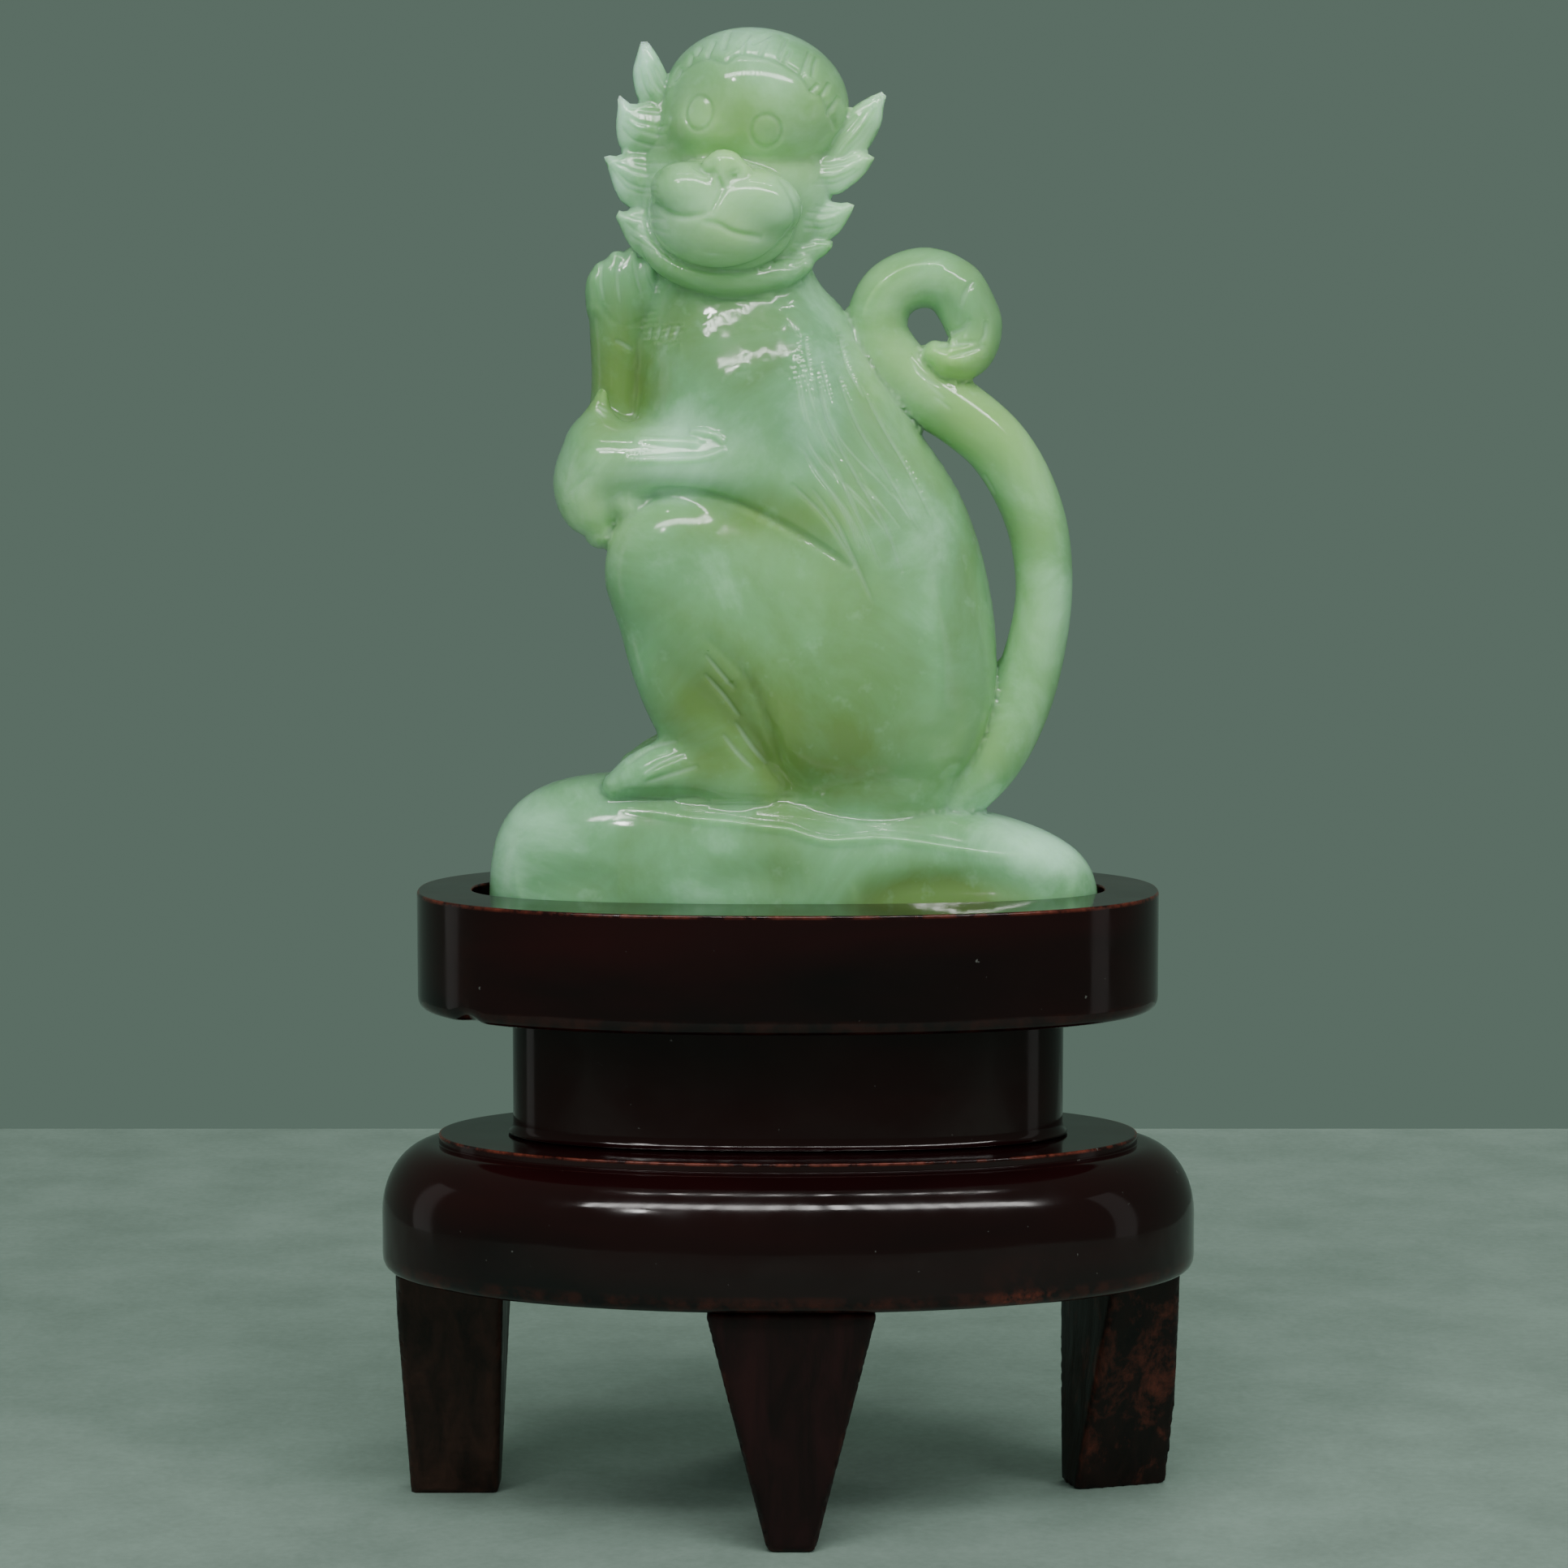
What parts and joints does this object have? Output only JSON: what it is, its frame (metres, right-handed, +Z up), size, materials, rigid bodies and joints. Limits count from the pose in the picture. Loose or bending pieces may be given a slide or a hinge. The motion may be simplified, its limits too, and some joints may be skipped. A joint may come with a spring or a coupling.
{
  "type": "jade monkey carving",
  "caption": "Seated monkey carved in pale green jade on a carved rock, set in the pocket of a dark lacquered wooden stand on tapered sawn legs.",
  "frame": {"origin": "bottom centre of the bounding box, between the feet of the stand", "axes": "+Z up; +X along the length of the stand, from the monkey's knees to its tail; -Y the side that its face is turned to"},
  "size_m": [0.113, 0.064, 0.2035],
  "materials": {
    "jade": "polished, translucent pale green",
    "lacquer": "gloss dark red-black lacquer",
    "leg_wood": "matt stained, worn"
  },
  "bodies": {
    "root": {"jade_monkey": "jade", "seat_board": "lacquer", "neck_block": "lacquer", "base_block": "lacquer", "leg_front": "leg_wood", "leg_back": "leg_wood", "leg_left": "leg_wood", "leg_right": "leg_wood"}
  },
  "joints": []
}
